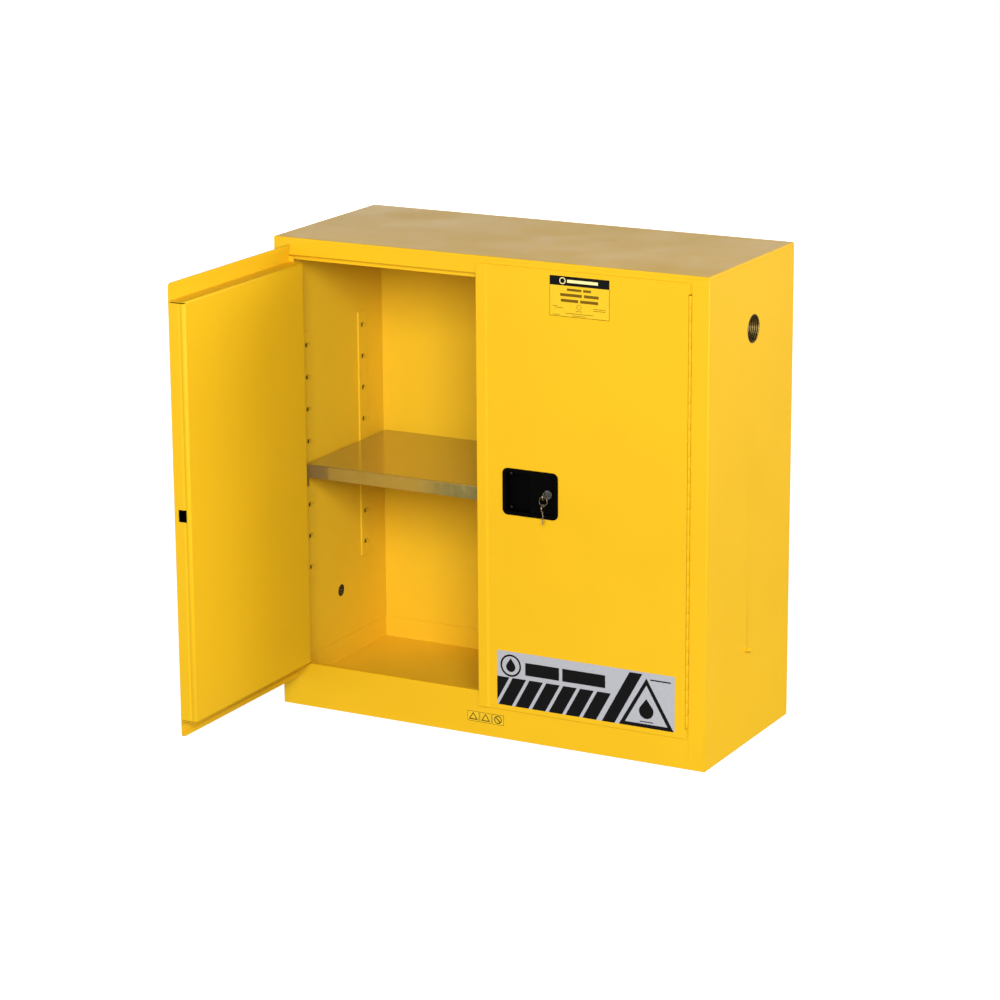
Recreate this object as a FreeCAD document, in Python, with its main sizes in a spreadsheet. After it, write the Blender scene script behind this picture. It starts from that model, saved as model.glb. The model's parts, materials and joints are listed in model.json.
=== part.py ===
"""Two-door flammable storage cabinet: double-walled sheet steel, one shelf, recessed paddle latch.

Frame: origin at the centre of the base's underside, +X to the right seen from the front,
+Y to the back, +Z up.  Lengths are in millimetres.  The doors are drawn shut; the left one
is then turned about its hinge pin to the angle at which the cabinet is stored.
"""
import FreeCAD, Part
import math
import os
import Sketcher

V = FreeCAD.Vector
doc = FreeCAD.newDocument("FlammableStorageCabinet")
sheet = doc.addObject("Spreadsheet::Sheet", "Sizes")
nodes = {}


# ---------------------------------------------------------------- sheet and formulas

class Dim:
    """A length with its value now and the sheet formula that gives it."""

    def __init__(self, text, value):
        self.text = text
        self.value = float(value)

    def __add__(self, other):
        return Dim(f"({self.text} + {text_of(other)})", self.value + value_of(other))

    def __radd__(self, other):
        return Dim(f"({text_of(other)} + {self.text})", value_of(other) + self.value)

    def __sub__(self, other):
        return Dim(f"({self.text} - {text_of(other)})", self.value - value_of(other))

    def __rsub__(self, other):
        return Dim(f"({text_of(other)} - {self.text})", value_of(other) - self.value)

    def __mul__(self, other):
        return Dim(f"({self.text} * {text_of(other)})", self.value * value_of(other))

    def __rmul__(self, other):
        return Dim(f"({text_of(other)} * {self.text})", value_of(other) * self.value)

    def __truediv__(self, other):
        return Dim(f"({self.text} / {text_of(other)})", self.value / value_of(other))

    def __neg__(self):
        return Dim(f"(0 - {self.text})", -self.value)


def text_of(number):
    return number.text if isinstance(number, Dim) else f"({float(number)})"


def value_of(number):
    return number.value if isinstance(number, Dim) else float(number)


def size(alias, value, meaning):
    """One row of the sheet: what it is, and its plain number under an alias."""
    row = len(size.rows) + 1
    size.rows.append(alias)
    sheet.set(f"A{row}", meaning)
    sheet.set(f"B{row}", str(value))
    sheet.setAlias(f"B{row}", alias)
    return Dim(f"Sizes.{alias}", value)


size.rows = []

# Body
body_width = size("body_width", 1092, "cabinet width, side to side")
body_depth = size("body_depth", 457, "cabinet depth, frame face to back")
body_height = size("body_height", 1118, "cabinet height")
gauge = size("gauge", 1.2, "sheet steel thickness")
air_space = size("air_space", 38, "gap between outer and inner walls")
bend = size("bend_radius", 2.5, "outside radius of a sheet bend")
cap_lip = size("cap_lip", 8, "down-turned edge of the top panel")
sill_height = size("sill_height", 106, "front sill above the floor")
sill_ledge = size("sill_ledge", 14, "ledge on top of the sill")
pan_height = size("pan_height", 51, "depth of the liquid-tight floor pan")
rail_height = size("rail_height", 41, "face of the rail over the doors")
rail_step = size("rail_step", 12, "step back and drop of the rail's stop strip")
# Doors
hinge_radius = size("hinge_radius", 3.2, "outside radius of the piano hinge knuckle")
hinge_pin_radius = size("hinge_pin_radius", 1.5, "hinge pin radius")
hinge_low = size("hinge_low", 97, "lower end of the hinges")
hinge_high = size("hinge_high", 1075, "upper end of the hinges")
hinge_leaf = size("hinge_leaf", 12, "width of a hinge leaf behind the pin")
hinge_count = 33
hinge_gap = size("hinge_gap", 0.3, "end gap between knuckles")
hinge_relief = size("hinge_relief", 2.5, "cut-out in the skin beyond each end of the hinge")
skin_low = size("skin_low", 72, "lower edge of the door skins")
skin_high = size("skin_high", 1102, "upper edge of the door skins")
skin_proud = size("skin_proud", 4, "door skin face in front of the frame face")
door_box = size("door_box", 38, "depth of the door's inner pan")
pan_bend = size("pan_bend", 4.6, "outside radius of the pan's bends")
edge_bead = size("edge_bead", 1.3, "depth of the bead in the left door's edge channel")
edge_gap = size("edge_gap", 3.5, "edge channel's ends inside the ends of the pan")
skin_tab = size("skin_tab", 1.2, "skin corners past the hinge pin, above and below the hinge")
pan_low = size("pan_low", 109.5, "lower face of the door pans")
pan_high = size("pan_high", 1063, "upper face of the door pans")
hem = size("hem", 12, "height of the folded hem along a skin's top and bottom")
hem_thick = size("hem_thick", 2.4, "thickness that the hem adds behind the skin")
left_free = size("left_free", 2.5, "left door's free edge, left of centre")
right_free = size("right_free", 4, "right door pan's free edge, right of centre")
lip_reach = size("lip_reach", 19, "right door lip, reach left of centre")
lip_flat = size("lip_flat", 3, "where the lip's flat ends, right of centre")
lip_ramp = size("lip_ramp", 8, "where the lip's ramp ends, right of centre")
lip_rise = size("lip_rise", 2.6, "lip in front of the door face")
door_angle = size("door_angle", 90, "left door's stored angle, degrees open")
# Shelf and standards
slot_pitch = size("slot_pitch", 76.2, "pitch of the shelf slots")
slot_low = size("slot_low", 321.3, "height of the lowest shelf slot")
slot_count = 8
standard_front = size("standard_front", 68, "front standard behind the frame face")
standard_rear = size("standard_rear", 323, "rear standard behind the frame face")
standard_width = size("standard_width", 38, "width of a shelf standard")
standard_heel = size("standard_heel", 15, "width of a standard behind its slots' middle")
standard_depth = size("standard_depth", 4, "depth of a shelf standard")
tongue_half = size("tongue_half", 4, "half the height of a shelf tongue")
shelf_half = size("shelf_half", 497, "half the shelf's width")
shelf_front = size("shelf_front", 38.5, "shelf's front edge behind the frame face")
shelf_back = size("shelf_back", 412.5, "shelf's back edge behind the frame face")
shelf_top = size("shelf_top", 578, "height of the shelf's top face")
shelf_lip = size("shelf_lip", 32, "depth of the shelf's turned-down edges")
# Vents, ground terminal and feet
vent_bore = size("vent_bore", 30.2, "radius of the threaded vent bore")
vent_length = size("vent_length", 28, "length of the threaded vent bore")
vent_right_back = size("vent_right_back", 236, "right vent behind the frame face")
vent_right_up = size("vent_right_up", 961, "right vent's height")
vent_left_back = size("vent_left_back", 205, "left vent behind the frame face")
vent_left_up = size("vent_left_up", 226, "left vent's height")
vent_inner = size("vent_inner", 14.5, "radius of the vent hole in the inner wall")
vent_shoulder = size("vent_shoulder", 7, "thickness of the collar behind the arrester")
ground_back = size("ground_back", 222, "ground stud behind the frame face")
ground_up = size("ground_up", 223, "ground stud's height")
ground_radius = size("ground_radius", 3, "ground stud radius")
foot_x = size("foot_x", 480, "levelling feet either side of centre")
foot_y = size("foot_y", 165, "levelling feet before and behind centre")
foot_stud = size("foot_stud", 5, "levelling stud radius")
glide_radius = size("glide_radius", 20, "radius of a foot's glide")
socket_radius = size("socket_radius", 26, "radius of a foot socket's cup")
socket_height = size("socket_height", 24, "height of a foot socket")
running = size("running", 0.06, "radial clearance of a running fit")
# Handle and latch
cup_left = size("cup_left", 45, "handle cup's left edge, right of centre")
cup_right = size("cup_right", 184, "handle cup's right edge, right of centre")
cup_low = size("cup_low", 535, "handle cup's lower edge")
cup_high = size("cup_high", 643, "handle cup's upper edge")
cup_rim = size("cup_rim", 7, "width of the handle cup's rim")
cup_proud = size("cup_proud", 3, "thickness of the rim on the door face")
cup_depth = size("cup_depth", 25, "depth of the cup behind the door face")
cup_wall = size("cup_wall", 2, "wall of the handle cup")
cup_corner = size("cup_corner", 13, "corner radius of the handle cup")
cup_edge = size("cup_edge", 1.5, "rounding of the rim's front edge")
post_inset = size("post_inset", 15, "screw posts from the edges of the cup")
paddle_left = size("paddle_left", 114, "pull edge of the paddle, right of centre")
paddle_pivot = size("paddle_pivot", 166, "paddle pivot, right of centre")
paddle_set = size("paddle_set", 7.5, "paddle pivot behind the paddle's face")
paddle_barrel = size("paddle_barrel", 5, "radius of the paddle's pivot barrels")
paddle_pin = size("paddle_pin", 2.2, "radius of the paddle's pivot pins")
lock_x = size("lock_x", 158.5, "lock, right of centre")
lock_z = size("lock_z", 592, "lock's height")
barrel_radius = size("barrel_radius", 8.5, "radius of the lock barrel")
plug_radius = size("plug_radius", 6, "radius of the lock plug")
cam_x = size("cam_x", 62, "latch cam pivot, right of centre")
cam_z = size("cam_z", 563, "latch cam pivot's height")
cam_arm = size("cam_arm", 22, "cam pins from the cam pivot")
cam_pin = size("cam_pin", 2.4, "cam pin radius")
cam_pivot = size("cam_pivot", 4, "radius of the cam's pivot post")
rod_radius = size("rod_radius", 3, "latch rod radius")
rod_back = size("rod_back", 27.5, "latch rods behind the frame face")
throw = size("throw", 12, "travel of the bolt and of each rod")
key_bow = size("key_bow", 9.5, "radius of a key's bow")
key_eye = size("key_eye", 5, "hole from the middle of a key's bow")
ring_radius = size("ring_radius", 10, "key ring radius, to the middle of the wire")

# Places worked out from the sizes
half = body_width / 2
front = -body_depth / 2
back = body_depth / 2
cap_low = body_height - cap_lip
jamb = half - gauge - air_space - gauge
wall_out = jamb + gauge
liner_back = back - gauge - air_space - gauge
liner_low = sill_height + 0.2
ceiling = body_height - gauge - air_space - gauge
floor_top = sill_height - pan_height
rail_low = body_height - rail_height
strip_low = rail_low - rail_step + 1
skin_front = front - skin_proud
skin_back = skin_front + gauge
box_back = skin_back + door_box
hinge_x = jamb - hinge_radius - 0.1
hinge_y = front - 2.4
door_side = hinge_x - hinge_radius - 0.3
leaf_back = hinge_y + hinge_leaf
cup_floor = skin_front + cup_depth
rod_y = front + rod_back
bolt_z = cam_z + cam_arm
paddle_face = skin_front + 1
pivot_y = paddle_face + paddle_set
edge_back = box_back + gauge + 0.2
left_pan_free = left_free + gauge + 0.2 + edge_bead
strike_ys = (skin_front + 10.7, skin_front + 30.7)
strike_zs = (bolt_z - 13.5, bolt_z + 13.5)
standard_face = jamb - standard_depth
vent_reach = half - wall_out - 0.2
vents = {
    "left": (-1, front + vent_left_back, vent_left_up),
    "right": (1, front + vent_right_back, vent_right_up),
}
sides = {"left": -1, "right": 1}


# ---------------------------------------------------------------- building helpers

def bind(item, path, number):
    """Set a property from a plain number, or tie it to the sheet."""
    if isinstance(number, Dim):
        item.setExpression(path, number.text)
    elif path.isalpha():
        setattr(item, path, float(number))


def place(item, x, y, z, rotation=None):
    """Put an object at a point; coordinates that come from the sheet stay tied to it."""
    base = V(value_of(x), value_of(y), value_of(z))
    item.Placement = FreeCAD.Placement(base, rotation or FreeCAD.Rotation())
    for axis, number in zip("xyz", (x, y, z)):
        bind(item, f"Placement.Base.{axis}", number)
    return item


def ordered(pair):
    return sorted(pair, key=value_of)


def block(name, xs, ys, zs):
    """A straight bar or plate between two opposite corners."""
    box = doc.addObject("Part::Box", name)
    lows = []
    for prop, pair in zip(("Length", "Width", "Height"), (xs, ys, zs)):
        low, high = ordered(pair)
        bind(box, prop, high - low)
        lows.append(low)
    return place(box, *lows)


TURNS = {
    "z": FreeCAD.Rotation(),
    "x": FreeCAD.Rotation(V(0, 1, 0), 90),
    "y": FreeCAD.Rotation(V(1, 0, 0), -90),
}


def bar(name, axis, radius, start, length):
    """A round bar from its start point along +x, +y or +z."""
    rod = doc.addObject("Part::Cylinder", name)
    bind(rod, "Radius", radius)
    bind(rod, "Height", length)
    return place(rod, *start, TURNS[axis])


def fuse(name, pieces):
    joined = doc.addObject("Part::MultiFuse", name)
    joined.Shapes = pieces
    joined.Refine = True
    return joined


def cut(name, base, tools):
    """Take the tools away from the base."""
    result = doc.addObject("Part::Cut", name)
    result.Base = base
    result.Tool = tools[0] if len(tools) == 1 else fuse(f"{name}_tools", tools)
    return result


def group(name, pieces):
    """Several separate solids in one node."""
    compound = doc.addObject("Part::Compound", name)
    compound.Links = pieces
    return compound


def node(name, item):
    item.Label = name
    nodes[name] = item
    return item


def plane(body, role):
    return next(item for item in body.Origin.OriginFeatures if item.Role == role)


def sketch(body, role, offset=0):
    """An empty sketch on one of the body's own planes, moved along the plane's normal."""
    drawing = body.newObject("Sketcher::SketchObject", f"{body.Name}_sketch")
    drawing.AttachmentSupport = [(plane(body, role), "")]
    drawing.MapMode = "FlatFace"
    drawing.AttachmentOffset = FreeCAD.Placement(V(0, 0, value_of(offset)), FreeCAD.Rotation())
    bind(drawing, "AttachmentOffset.Base.z", offset)
    return drawing


def pin_point(drawing, geometry, end, point):
    """Hold a point of the sketch at sheet coordinates."""
    for kind, number in zip(("DistanceX", "DistanceY"), point):
        index = drawing.addConstraint(
            Sketcher.Constraint(kind, -1, 1, geometry, end, value_of(number)))
        bind(drawing, f"Constraints[{index}]", number)


def polygon(drawing, points):
    """A closed outline; each corner is held at its sheet coordinates."""
    first = drawing.GeometryCount
    spots = [V(value_of(x), value_of(y), 0) for x, y in points]
    count = len(spots)
    for i, spot in enumerate(spots):
        drawing.addGeometry(Part.LineSegment(spot, spots[(i + 1) % count]), False)
    for i in range(count):
        after = first + (i + 1) % count
        drawing.addConstraint(Sketcher.Constraint("Coincident", first + i, 2, after, 1))
    for i, point in enumerate(points):
        pin_point(drawing, first + i, 1, point)
    return drawing


def rectangle(drawing, xs, ys):
    (x0, x1), (y0, y1) = ordered(xs), ordered(ys)
    return polygon(drawing, [(x0, y0), (x1, y0), (x1, y1), (x0, y1)])


def circle(drawing, point, radius):
    centre = V(value_of(point[0]), value_of(point[1]), 0)
    index = drawing.addGeometry(Part.Circle(centre, V(0, 0, 1), value_of(radius)), False)
    pin_point(drawing, index, 3, point)
    row = drawing.addConstraint(Sketcher.Constraint("Radius", index, value_of(radius)))
    bind(drawing, f"Constraints[{row}]", radius)
    return drawing


def pad(body, drawing, length, forward=True):
    """Add material; forward is along the sketch's normal."""
    feature = body.newObject("PartDesign::Pad", f"{body.Name}_pad")
    feature.Profile = drawing
    bind(feature, "Length", length)
    feature.Reversed = not forward
    body.Tip = feature
    doc.recompute()
    return feature


def pocket(body, drawing, length, forward=False):
    """Remove material, and make sure that some was removed."""
    before = body.Tip.Shape.Volume
    feature = body.newObject("PartDesign::Pocket", f"{body.Name}_pocket")
    feature.Profile = drawing
    bind(feature, "Length", length)
    feature.Reversed = forward
    body.Tip = feature
    doc.recompute()
    if feature.Shape.Volume > before - 1e-3:
        raise RuntimeError(f"{body.Name}: a pocket cut nothing")
    return feature


def revolve(body, points):
    """Turn a (radius, height) outline about the body's Z axis."""
    drawing = polygon(sketch(body, "XZ_Plane"), points)
    feature = body.newObject("PartDesign::Revolution", f"{body.Name}_turn")
    feature.Profile = drawing
    feature.ReferenceAxis = (drawing, ["V_Axis"])
    feature.Angle = 360
    body.Tip = feature
    doc.recompute()
    return feature


def fillet(body, radius, *spots):
    """Round every edge whose ends all lie at one of the spots, given as {axis: number}."""
    base = body.Tip
    names = []
    for i, edge in enumerate(base.Shape.Edges):
        for spot in spots:
            ends = [vertex.Point for vertex in edge.Vertexes]
            if all(abs(getattr(end, axis) - value_of(number)) < 1e-3
                   for end in ends for axis, number in spot.items()):
                names.append(f"Edge{i + 1}")
                break
    feature = body.newObject("PartDesign::Fillet", f"{body.Name}_fillet")
    feature.Base = (base, names)
    bind(feature, "Radius", radius)
    body.Tip = feature
    doc.recompute()
    return feature


def pattern(body, features, length, count):
    """Repeat features upwards."""
    feature = body.newObject("PartDesign::LinearPattern", f"{body.Name}_pattern")
    feature.Originals = features
    feature.Direction = (plane(body, "Z_Axis"), [""])
    bind(feature, "Length", length)
    feature.Occurrences = count
    body.Tip = feature
    doc.recompute()
    return feature


def new_body(name):
    return doc.addObject("PartDesign::Body", name)


# ---------------------------------------------------------------- outer shell

def outer_side(name, s):
    """Side panel with its front edge bent round to make the door stile."""
    body = new_body(name)
    plan = [
        (s * half, back), (s * half, front), (s * jamb, front), (s * jamb, front + gauge),
        (s * (half - gauge), front + gauge), (s * (half - gauge), back)]
    pad(body, polygon(sketch(body, "XY_Plane"), plan), cap_low)
    fillet(body, bend, {"x": s * half, "y": front})
    fillet(body, bend - gauge, {"x": s * (half - gauge), "y": front + gauge})
    side = name.split("_")[-1]
    holes = sketch(body, "YZ_Plane", s * (half + 1))
    circle(holes, vents[side][1:], vent_bore + 2.3)
    if s > 0:
        circle(holes, (front + ground_back, ground_up), ground_radius + 0.3)
    pocket(body, holes, gauge + 2, forward=s < 0)
    return node(name, body)


def outer_top():
    """Top panel: a shallow cap with rounded, down-turned edges."""
    body = new_body("outer_top")
    pad(body, rectangle(sketch(body, "XY_Plane", cap_low), (-half, half), (front, back)), cap_lip)
    corners = [{"x": s * half, "y": y} for s in (-1, 1) for y in (front, back)]
    fillet(body, bend, {"z": body_height}, *corners)
    inside = rectangle(sketch(body, "XY_Plane", cap_low),
                       (gauge - half, half - gauge), (front + gauge, back - gauge))
    pocket(body, inside, cap_lip - gauge, forward=True)
    return node("outer_top", body)


def sill_front():
    """Front sill with its ledge, notched at both ends for the hinges."""
    body = new_body("sill_front")
    section = [
        (front, 0), (front + gauge, 0), (front + gauge, sill_height - gauge),
        (front + sill_ledge, sill_height - gauge), (front + sill_ledge, sill_height),
        (front, sill_height)]
    pad(body, polygon(sketch(body, "YZ_Plane", -jamb), section), 2 * jamb)
    fillet(body, bend, {"y": front, "z": sill_height})
    fillet(body, bend - gauge, {"y": front + gauge, "z": sill_height - gauge})
    notches = sketch(body, "XZ_Plane", 1 - front)
    for s in (-1, 1):
        rectangle(notches, (s * (hinge_x - hinge_leaf - 2), s * (jamb + 1)),
                  (hinge_low - 1.5, sill_height + 1))
    pocket(body, notches, hinge_leaf + 1)
    return node("sill_front", body)


def top_rail():
    """Rail over the doors: a face, a step back and the strip that the doors shut below."""
    body = new_body("top_rail")
    step = front + rail_step
    section = [
        (front, cap_low), (front, rail_low), (step - gauge, rail_low), (step - gauge, strip_low),
        (step, strip_low), (step, rail_low + gauge), (front + gauge, rail_low + gauge),
        (front + gauge, cap_low)]
    pad(body, polygon(sketch(body, "YZ_Plane", -jamb), section), 2 * jamb)
    fillet(body, bend - 0.5, {"y": front, "z": rail_low})
    return node("top_rail", body)


def outer_back():
    return node("outer_back", block(
        "outer_back", (gauge - half, half - gauge), (back - gauge, back), (0, cap_low)))


def foot_spots():
    """Name and place of each levelling foot."""
    for depth, sy in (("front", -1), ("rear", 1)):
        for side, sx in sides.items():
            yield f"{depth}_{side}", sx * foot_x, sy * foot_y


def base_pan():
    """Outer bottom, resting flat, with a hole for each foot socket."""
    inset = gauge + 1.4
    sheet_plate = block("base_plate", (inset - half, half - inset), (front + inset, back - inset),
                        (0, gauge))
    holes = [bar(f"base_hole_{name}", "z", socket_radius + 0.2, (x, y, -1), gauge + 2)
             for name, x, y in foot_spots()]
    return node("base_pan", cut("base_pan", sheet_plate, holes))


def foot_sockets():
    """Pressed cup with a flange over the bottom's hole and a threaded boss on top."""
    cups = []
    bore = foot_stud + running
    cup_inside = socket_radius - gauge
    cup_top = 14
    flange_low, flange_high = gauge + 0.1, 2 * gauge + 0.1
    boss, flange = 9, socket_radius + 8
    section = [
        (cup_inside, 0), (socket_radius, 0), (socket_radius, flange_low), (flange, flange_low),
        (flange, flange_high), (socket_radius, flange_high), (socket_radius, cup_top),
        (boss, cup_top), (boss, socket_height), (bore, socket_height), (bore, cup_top - gauge),
        (cup_inside, cup_top - gauge)]
    for name, x, y in foot_spots():
        body = new_body(f"socket_{name}")
        revolve(body, section)
        cups.append(place(body, x, y, 0))
    return node("foot_sockets", group("foot_sockets", cups))


def feet():
    """Levelling feet: glide and threaded stud, screwed right in."""
    low, rim, chamfer, stud_top = 0.3, 6, 1, 47
    section = [
        (0, low), (glide_radius - chamfer, low), (glide_radius, low + chamfer),
        (glide_radius, low + rim), (glide_radius - 2, low + rim + chamfer),
        (foot_stud, low + rim + chamfer), (foot_stud, stud_top - chamfer),
        (foot_stud - chamfer, stud_top), (0, stud_top)]
    for name, x, y in foot_spots():
        body = new_body(f"foot_{name}")
        revolve(body, section)
        node(f"foot_{name}", place(body, x, y, 0))


# ---------------------------------------------------------------- liner

def floor_pan():
    """Liquid-tight floor pan; its upturned edges carry on the line of the liner walls."""
    body = new_body("floor_pan")
    near = front + sill_ledge + 0.2
    far = liner_back + gauge
    pad(body, rectangle(sketch(body, "XY_Plane", floor_top - gauge), (-wall_out, wall_out),
                        (near, far)), pan_height + gauge)
    well = rectangle(sketch(body, "XY_Plane", floor_top), (-jamb, jamb), (near + gauge, liner_back))
    pocket(body, well, pan_height + 1, forward=True)
    return node("floor_pan", body)


def inner_side(side, s, vent_y, vent_z):
    """Side wall of the liner, with the vent's hole and a window behind each row of slots."""
    wall = block(f"liner_{side}", (s * jamb, s * wall_out), (front + gauge + 0.2, liner_back + gauge),
                 (liner_low, ceiling + gauge))
    start = s * jamb - 2
    hole = bar(f"liner_hole_{side}", "x", vent_inner, (start, vent_y, vent_z), gauge + 4)
    xs = (s * (jamb - 1), s * (wall_out + 1))
    zs = (slot_low - tongue_half - 2, slot_low + (slot_count - 1) * slot_pitch + tongue_half + 2)
    windows = [
        block(f"liner_window_{side}_{i}", xs, (front + from_front - 12, front + from_front + 4), zs)
        for i, from_front in enumerate((standard_front, standard_rear))]
    return node(f"inner_side_{side}", cut(f"inner_side_{side}", wall, [hole, *windows]))


def inner_back():
    return node("inner_back", block(
        "inner_back", (0.2 - jamb, jamb - 0.2), (liner_back, liner_back + gauge),
        (liner_low, ceiling - 0.2)))


def inner_ceiling():
    return node("inner_ceiling", block(
        "inner_ceiling", (0.2 - jamb, jamb - 0.2), (front + rail_step + 0.2, liner_back + gauge),
        (ceiling, ceiling + gauge)))


def standard(name, s, from_front):
    """Channel with lanced tongues that the shelf clips hook into."""
    body = new_body(name)
    face = standard_face
    middle = front + from_front
    low, high = middle + standard_heel - standard_width, middle + standard_heel
    web = 1
    plan = [
        (s * jamb, low), (s * face, low), (s * face, high), (s * jamb, high),
        (s * jamb, high - web), (s * (face + web), high - web),
        (s * (face + web), low + web), (s * jamb, low + web)]
    margin = 33
    run = (slot_count - 1) * slot_pitch
    pad(body, polygon(sketch(body, "XY_Plane", slot_low - margin), plan), run + 2 * margin)
    tip_y = middle - 7
    tongue = [
        (s * face, tip_y + 18), (s * (face - 3.4), tip_y), (s * (face - 2.4), tip_y),
        (s * (face + 0.5), tip_y + 14)]
    lance = pad(body, polygon(sketch(body, "XY_Plane", slot_low - tongue_half), tongue),
                2 * tongue_half)
    slot = rectangle(sketch(body, "YZ_Plane", s * (face - 5)), (tip_y - 4, tip_y + 10),
                     (slot_low - tongue_half - 0.5, slot_low + tongue_half + 0.5))
    opened = pocket(body, slot, 5 + web + 0.5, forward=s > 0)
    rebuilt = pad(body, polygon(sketch(body, "XY_Plane", slot_low - tongue_half), tongue),
                  2 * tongue_half)
    pattern(body, [lance, opened, rebuilt], run, slot_count)
    return node(name, body)


def shelf_clips():
    """Four hooks in the slots just below the shelf."""
    clips = []
    slot_z = slot_low + 3 * slot_pitch
    face = standard_face
    rest = shelf_top - shelf_lip - 0.4
    for side, s in sides.items():
        for depth, from_front in (("front", standard_front), ("rear", standard_rear)):
            near = front + from_front - 19
            far = front + from_front - 8.8
            name = f"clip_{side}_{depth}"
            back_plate = block(f"{name}_back", (s * (face - 1.7), s * (face - 0.2)), (near, far),
                               (rest - 26, slot_z + 3))
            hook = block(f"{name}_hook", (s * (face - 0.2), s * (face + 2.6)), (far - 1.8, far),
                         (slot_z - 3, slot_z + 3))
            ledge = block(f"{name}_ledge", (s * (face - 18), s * (face - 0.2)), (near, far),
                          (rest - 1.5, rest))
            clips.append(fuse(name, [back_plate, hook, ledge]))
    return node("shelf_clips", group("shelf_clips", clips))


def shelf():
    """Galvanised shelf: an upside-down tray with returned front and back edges."""
    body = new_body("shelf")
    near, far = front + shelf_front, front + shelf_back
    low = shelf_top - shelf_lip
    pad(body, rectangle(sketch(body, "XY_Plane", low), (-shelf_half, shelf_half), (near, far)),
        shelf_lip)
    fillet(body, bend, {"z": shelf_top})
    pocket(body, rectangle(sketch(body, "XY_Plane", low), (gauge - shelf_half, shelf_half - gauge),
                           (near + gauge, far - gauge)), shelf_lip - gauge, forward=True)
    returns = sketch(body, "XY_Plane", low)
    rectangle(returns, (4 - shelf_half, shelf_half - 4), (near + 0.5, near + 12))
    rectangle(returns, (4 - shelf_half, shelf_half - 4), (far - 12, far - 0.5))
    pad(body, returns, gauge)
    return node("shelf", body)


# ---------------------------------------------------------------- vents and terminal

def vent_fitting(side, s, y, z):
    """Threaded collar through the double wall, with a shoulder for the flame arrester."""
    body = new_body(f"vent_fitting_{side}")
    flange = vent_bore + 10
    sleeve = vent_bore + 2.6
    section = [
        (vent_bore, 0), (vent_bore + 2.1, 0), (vent_bore + 2.1, gauge + 0.1),
        (flange, gauge + 0.1), (flange, 4.3), (sleeve, 4.3),
        (sleeve, vent_reach), (vent_bore - 4, vent_reach), (vent_bore - 4, vent_reach - vent_shoulder),
        (vent_bore - 1.6, vent_reach - vent_shoulder), (vent_bore - 1.6, vent_length),
        (vent_bore, vent_length)]
    revolve(body, section)
    return node(f"vent_fitting_{side}",
                place(body, s * half, y, z, FreeCAD.Rotation(V(0, 1, 0), -90 * s)))


def flame_arrester(side, s, y, z):
    """Perforated disc against the collar's shoulder."""
    body = new_body(f"flame_arrester_{side}")
    thickness = 2.5
    hole_radius = 2.3
    disc = circle(sketch(body, "XY_Plane"), (0, 0), vent_bore - 1.9)
    for ring, (holes, spread) in enumerate(((6, 8.5), (12, 16), (18, 23))):
        for i in range(holes):
            angle = 2 * math.pi * (i + 0.5 * ring) / holes
            circle(disc, (spread * math.cos(angle), spread * math.sin(angle)), hole_radius)
    pad(body, disc, thickness)
    start = half - (vent_reach - vent_shoulder) + 0.1
    return node(f"flame_arrester_{side}",
                place(body, s * start, y, z, FreeCAD.Rotation(V(0, 1, 0), 90 * s)))


def ground_terminal():
    """Stud for a ground wire, with a washer and a nut outside the right wall."""
    y, z = front + ground_back, ground_up
    head_thick, washer_thick, nut_thick = 4, 1.2, 5
    inside = half - gauge
    hole = ground_radius + running
    shank = bar("ground_shank", "x", ground_radius, (inside - 5, y, z), gauge + 16)
    head = bar("ground_head", "x", 6, (inside - head_thick - 0.1, y, z), head_thick)
    node("ground_stud", fuse("ground_stud", [shank, head]))
    washer = cut("ground_washer", bar("washer_disc", "x", 7.5, (half + 0.1, y, z), washer_thick),
                 [bar("washer_hole", "x", hole, (half - 1, y, z), washer_thick + 2)])
    nut_blank = doc.addObject("Part::Prism", "nut_blank")
    nut_blank.Polygon = 6
    nut_blank.Circumradius = 5.8
    nut_blank.Height = nut_thick
    place(nut_blank, half + washer_thick + 0.2, y, z, TURNS["x"])
    nut = cut("ground_nut", nut_blank, [bar("nut_hole", "x", hole, (half, y, z), nut_thick + 3)])
    node("ground_nut_and_washer", group("ground_nut_and_washer", [washer, nut]))


# ---------------------------------------------------------------- hinges and doors

def swing(name, item, s):
    """Turn a left door piece about its hinge pin to the stored angle."""
    if s < 0:
        axis = V(-hinge_x.value, hinge_y.value, 0)
        turn = FreeCAD.Rotation(V(0, 0, 1), -door_angle.value)
        item.Placement = FreeCAD.Placement(axis - turn.multVec(axis), turn)
    return node(name, item)


def hinge_piece(name, s, inner):
    """One leaf of a piano hinge; inner is True for the leaf on the door."""
    low, high = hinge_low, hinge_high
    length = high - low
    step = length / hinge_count
    edge = hinge_x - (hinge_radius if inner else -hinge_radius)
    across = edge + (gauge if inner else -gauge)
    plate = block(f"{name}_plate", (s * edge, s * across), (hinge_y, leaf_back), (low, high))
    tube = bar(f"{name}_tube", "z", hinge_radius, (s * hinge_x, hinge_y, low), length)
    bore = bar(f"{name}_bore", "z", hinge_pin_radius + running, (s * hinge_x, hinge_y, low - 1),
               length + 2)
    gaps = [bore]
    for i in range(0 if inner else 1, hinge_count, 2):
        gaps.append(bar(f"{name}_gap{i}", "z", hinge_radius + 0.3,
                        (s * hinge_x, hinge_y, low + i * step - hinge_gap / 2),
                        step + hinge_gap))
    leaf = cut(name, fuse(f"{name}_blank", [plate, tube]), gaps)
    if inner:
        return swing(name, leaf, s)
    return node(name, leaf)


def hinge_pin(name, s):
    """Pin through the knuckles; it stops a little inside the top one."""
    return node(name, bar(name, "z", hinge_pin_radius, (s * hinge_x, hinge_y, hinge_low - 0.5),
                          hinge_high - hinge_low - 2.5))


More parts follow.
